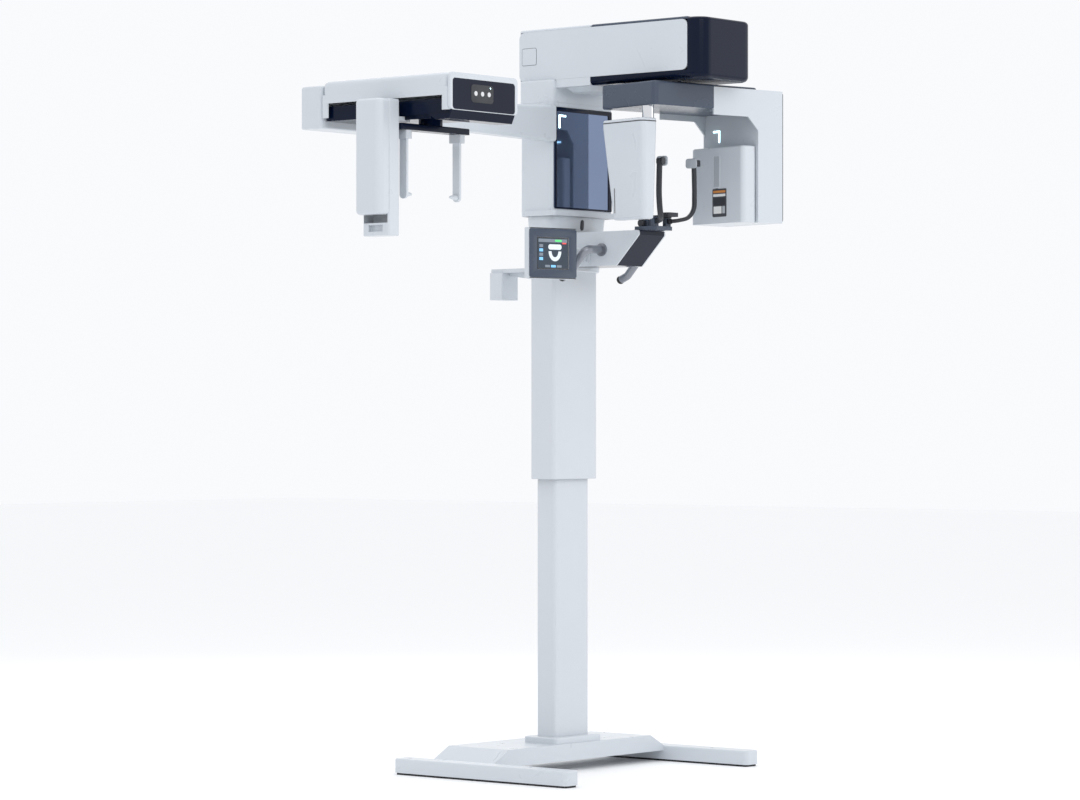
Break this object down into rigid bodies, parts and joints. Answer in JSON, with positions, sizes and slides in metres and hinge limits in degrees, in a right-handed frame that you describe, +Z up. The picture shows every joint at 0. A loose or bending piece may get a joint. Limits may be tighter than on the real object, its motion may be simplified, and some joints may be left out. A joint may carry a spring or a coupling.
{
  "type": "panoramic x-ray machine",
  "caption": "Dental panoramic x-ray machine: lifting column, rotating tube and detector, patient support, and a side arm for skull images.",
  "frame": {"origin": "on the floor under the column, at the centre of the four floor bolt holes", "axes": "+Z up, -Y towards the patient, -X along the side arm"},
  "size_m": [1.771, 0.921, 2.284],
  "materials": {
    "white_paint": "satin cool white coating",
    "navy_gloss": "deep navy gloss",
    "slate": "slate grey semi-gloss",
    "mirror_navy": "dark mirror gloss",
    "column_white": "powder coat",
    "rubber_black": "matt",
    "steel": "machined",
    "aluminium": "satin",
    "chrome": "polished",
    "handle_grey": "metallic grey",
    "screen": "black glass",
    "glass_tube": "clear glass",
    "dark_plastic": "matt",
    "copper_motor": "motor black",
    "nylon": "natural"
  },
  "bodies": {
    "stand": {"base_frame": "white_paint", "foot_strips": "rubber_black", "column_plinth": "white_paint", "lower_column": "column_white", "column_bolts": "steel", "actuator_body": "aluminium"},
    "lift": {"column_sleeve": "column_white", "actuator_rod": "chrome", "glide_pads": "nylon", "carriage_shell": "white_paint", "mirror_panel": "mirror_navy", "lower_cover": "white_paint", "neck_cover": "white_paint", "rear_bracket": "steel", "arm_frame": "steel", "arm_sides": "white_paint", "arm_top_cover": "slate", "arm_rear_cover": "white_paint", "arm_under_cover": "white_paint", "arm_front_cap": "navy_gloss", "shift_rails": "steel", "shift_actuator": "aluminium", "support_frame": "steel", "support_shell": "navy_gloss", "support_sides": "white_paint", "support_block": "slate", "handles": "handle_grey", "display_bracket": "white_paint", "ceph_arm": "white_paint", "ceph_frame": "slate", "ceph_cover": "white_paint", "ceph_front_panel": "slate", "ceph_belly": "navy_gloss", "ceph_rear_box": "white_paint"},
    "shift_stage": {"stage_plate": "aluminium", "rotation_motor": "copper_motor"},
    "gantry": {"gantry_hub": "steel", "beam_shell": "slate", "tubehead_shell": "white_paint", "tube_box": "white_paint", "tube_tank": "steel", "xray_tube": "glass_tube", "collimator": "steel"},
    "detector": {"swivel_shaft": "chrome", "detector_shell": "white_paint", "flat_panel": "dark_plastic"},
    "chin": {"chin_rest": "dark_plastic"},
    "temple_left": {"temple_arm_left": "slate"},
    "temple_right": {"temple_arm_right": "slate"},
    "display": {"display_housing": "white_paint", "display_screen": "screen"},
    "sensor_head": {"sensor_box": "white_paint", "sensor_cover": "white_paint", "sensor_strip": "dark_plastic"},
    "craniostat": {"craniostat_bar": "navy_gloss"},
    "ear_left": {"ear_arm_left": "white_paint"},
    "ear_right": {"ear_arm_right": "white_paint"},
    "button_1": {"key_1": "aluminium"},
    "button_2": {"key_2": "aluminium"},
    "button_3": {"key_3": "aluminium"}
  },
  "joints": [
    {"name": "column_lift", "type": "slide", "parent": "stand", "child": "lift", "axis": [0, 0, 1], "range_m": [-0.6, 0.16]},
    {"name": "axis_shift", "type": "slide", "parent": "lift", "child": "shift_stage", "axis": [0, 1, 0], "range_m": [-0.02, 0.03]},
    {"name": "gantry_rotation", "type": "hinge", "parent": "shift_stage", "child": "gantry", "pos_m": [0, -0.415, 2.1], "axis": [0, 0, 1], "range_deg": [-185, 25]},
    {"name": "detector_swivel", "type": "hinge", "parent": "gantry", "child": "detector", "pos_m": [-0.15767, -0.45896, 2], "axis": [0, 0, 1], "range_deg": [0, 90]},
    {"name": "chin_lift", "type": "slide", "parent": "lift", "child": "chin", "axis": [0, 0, 1], "range_m": [0, 0.02]},
    {"name": "temple_open", "type": "hinge", "parent": "lift", "child": "temple_right", "pos_m": [0.03, -0.39, 1.686], "axis": [0, 1, 0], "range_deg": [-5, 6]},
    {"name": "temple_open_left", "type": "hinge", "parent": "lift", "child": "temple_left", "pos_m": [-0.03, -0.39, 1.686], "axis": [0, 1, 0], "range_deg": [-6, 5]},
    {"name": "display_swivel", "type": "hinge", "parent": "lift", "child": "display", "pos_m": [-0.25555, -0.13708, 1.585], "axis": [0, 0, 1], "range_deg": [-10, 10]},
    {"name": "sensor_scan", "type": "slide", "parent": "lift", "child": "sensor_head", "axis": [0, 1, 0], "range_m": [-0.085, 0.085]},
    {"name": "craniostat_turn", "type": "hinge", "parent": "lift", "child": "craniostat", "pos_m": [-1.057, -0.39, 1.9], "axis": [0, 0, 1], "range_deg": [-90, 90]},
    {"name": "ear_open_right", "type": "slide", "parent": "craniostat", "child": "ear_right", "axis": [1, 0, 0], "range_m": [-0.045, 0.018]},
    {"name": "ear_open_left", "type": "slide", "parent": "craniostat", "child": "ear_left", "axis": [1, 0, 0], "range_m": [-0.018, 0.045]},
    {"name": "press_1", "type": "slide", "parent": "lift", "child": "button_1", "axis": [0, 1, 0], "range_m": [0, 0.0015], "stiffness_N_per_m": 400},
    {"name": "press_2", "type": "slide", "parent": "lift", "child": "button_2", "axis": [0, 1, 0], "range_m": [0, 0.0015], "stiffness_N_per_m": 400},
    {"name": "press_3", "type": "slide", "parent": "lift", "child": "button_3", "axis": [0, 1, 0], "range_m": [0, 0.0015], "stiffness_N_per_m": 400}
  ],
  "couplings": [
    {"joint": "temple_open_left", "follows": "temple_open", "ratio": -1},
    {"joint": "ear_open_left", "follows": "ear_open_right", "ratio": -1}
  ]
}
